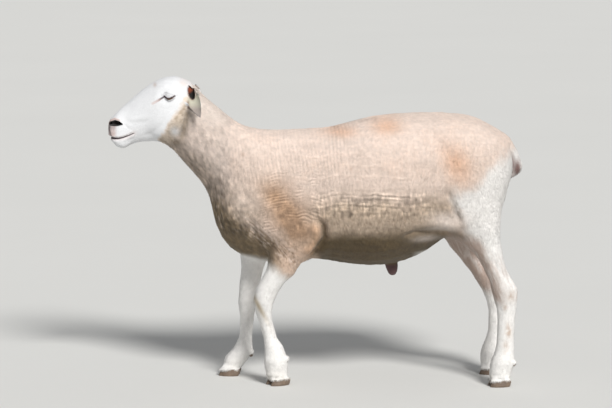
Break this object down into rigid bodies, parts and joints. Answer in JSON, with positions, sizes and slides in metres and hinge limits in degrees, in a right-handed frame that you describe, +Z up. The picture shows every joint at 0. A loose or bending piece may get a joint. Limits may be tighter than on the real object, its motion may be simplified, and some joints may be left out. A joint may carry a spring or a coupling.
{
  "type": "sheep",
  "caption": "Shorn white-faced hornless sheep with a docked tail, standing with one fore knee bent and its head raised.",
  "frame": {"origin": "on the floor, below the middle of the sheep's box", "axes": "-X towards the nose, -Y towards the sheep's left side, +Z up; the sheep is longest along X"},
  "size_m": [1.095, 0.3248, 0.813],
  "materials": {
    "fleece": "matt",
    "white_hair": "matt",
    "horn": "satin",
    "eye": "wet gloss",
    "dark_skin": "matt"
  },
  "bodies": {
    "root": {"trunk": "fleece", "neck": "fleece", "head": "white_hair", "tail": "fleece", "sheath": "dark_skin", "leg_fore_left_upper": "fleece", "claw_fore_left_outer": "horn", "dewclaw_fore_left_outer": "horn", "claw_fore_left_inner": "horn", "dewclaw_fore_left_inner": "horn", "leg_fore_left_lower": "white_hair", "leg_fore_right_upper": "fleece", "claw_fore_right_inner": "horn", "dewclaw_fore_right_inner": "horn", "claw_fore_right_outer": "horn", "dewclaw_fore_right_outer": "horn", "leg_fore_right_lower": "white_hair", "leg_hind_left_upper": "fleece", "claw_hind_left_outer": "horn", "dewclaw_hind_left_outer": "horn", "claw_hind_left_inner": "horn", "dewclaw_hind_left_inner": "horn", "leg_hind_left_lower": "white_hair", "leg_hind_right_upper": "fleece", "claw_hind_right_inner": "horn", "dewclaw_hind_right_inner": "horn", "claw_hind_right_outer": "horn", "dewclaw_hind_right_outer": "horn", "leg_hind_right_lower": "white_hair", "ear_left": "white_hair", "eye_left": "eye", "ear_right": "white_hair", "eye_right": "eye"}
  },
  "joints": []
}
